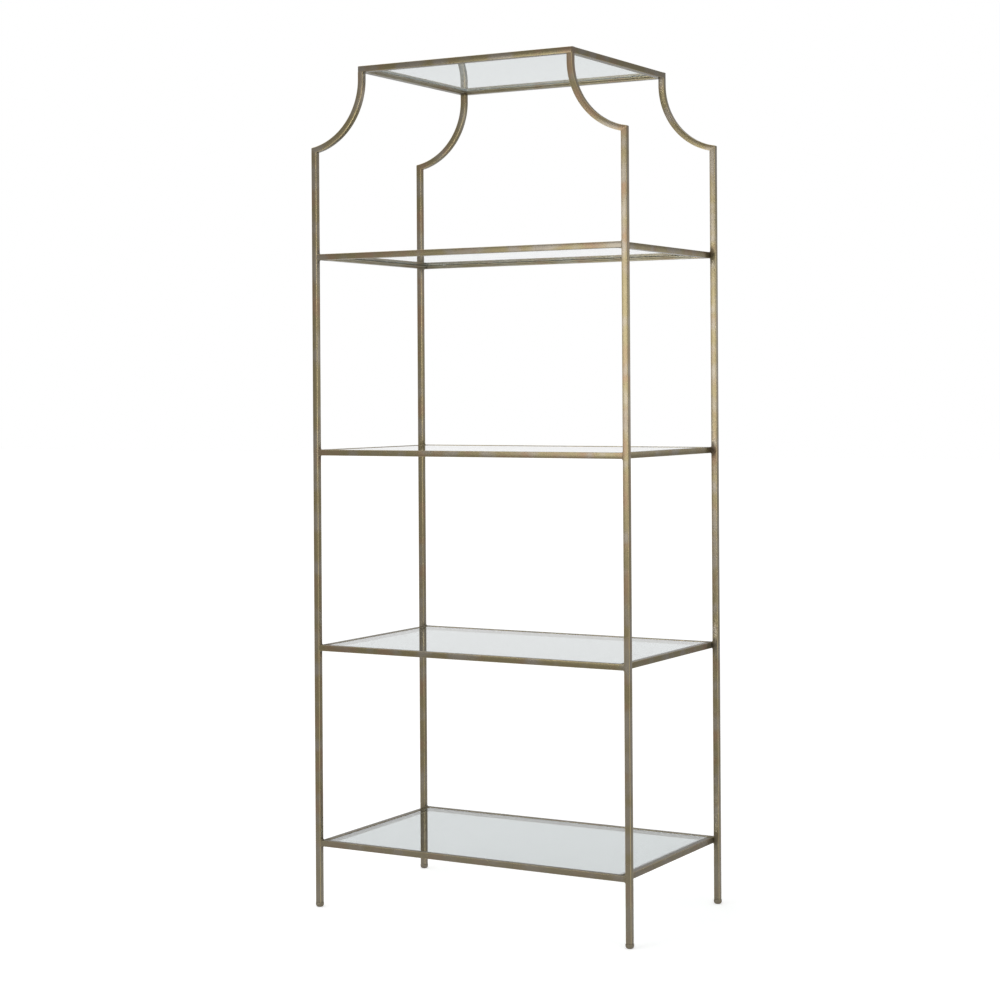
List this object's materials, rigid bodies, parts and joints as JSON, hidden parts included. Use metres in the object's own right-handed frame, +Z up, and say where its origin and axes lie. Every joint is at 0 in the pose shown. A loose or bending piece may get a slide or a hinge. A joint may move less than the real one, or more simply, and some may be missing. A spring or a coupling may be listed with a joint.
{
  "type": "etagere",
  "caption": "Tall open etagere of slim square brass bar with glass shelves and quarter-round shoulders under a narrower top.",
  "frame": {"origin": "middle of the footprint, on the floor", "axes": "+Z up; X along the width, +X to the right of someone who faces the front; +Y from the front to the back"},
  "size_m": [0.8192, 0.4792, 1.938],
  "materials": {
    "antique_brass": "antique brass, patinated brown and olive, burnished on the edges",
    "foot_brass": "antique brass, dark and rough",
    "clear_glass": "clear polished plate glass",
    "clear_bumper": "clear soft vinyl"
  },
  "bodies": {
    "root": {"leg_front_left": "antique_brass", "shoulder_front_left": "antique_brass", "foot_front_left": "foot_brass", "leg_front_right": "antique_brass", "shoulder_front_right": "antique_brass", "foot_front_right": "foot_brass", "leg_back_left": "antique_brass", "shoulder_back_left": "antique_brass", "foot_back_left": "foot_brass", "leg_back_right": "antique_brass", "shoulder_back_right": "antique_brass", "foot_back_right": "foot_brass", "shelf_1_rail_front": "antique_brass", "shelf_1_rail_back": "antique_brass", "shelf_1_rail_left": "antique_brass", "shelf_1_rail_right": "antique_brass", "shelf_1_glass_ledge": "antique_brass", "shelf_1_bumpers": "clear_bumper", "shelf_1_glass": "clear_glass", "shelf_2_rail_front": "antique_brass", "shelf_2_rail_back": "antique_brass", "shelf_2_rail_left": "antique_brass", "shelf_2_rail_right": "antique_brass", "shelf_2_glass_ledge": "antique_brass", "shelf_2_bumpers": "clear_bumper", "shelf_2_glass": "clear_glass", "shelf_3_rail_front": "antique_brass", "shelf_3_rail_back": "antique_brass", "shelf_3_rail_left": "antique_brass", "shelf_3_rail_right": "antique_brass", "shelf_3_glass_ledge": "antique_brass", "shelf_3_bumpers": "clear_bumper", "shelf_3_glass": "clear_glass", "shelf_4_rail_front": "antique_brass", "shelf_4_rail_back": "antique_brass", "shelf_4_rail_left": "antique_brass", "shelf_4_rail_right": "antique_brass", "shelf_4_glass_ledge": "antique_brass", "shelf_4_bumpers": "clear_bumper", "shelf_4_glass": "clear_glass", "top_rail_front": "antique_brass", "top_rail_back": "antique_brass", "top_rail_left": "antique_brass", "top_rail_right": "antique_brass", "top_glass_ledge": "antique_brass", "top_bumpers": "clear_bumper", "top_glass": "clear_glass"}
  },
  "joints": []
}
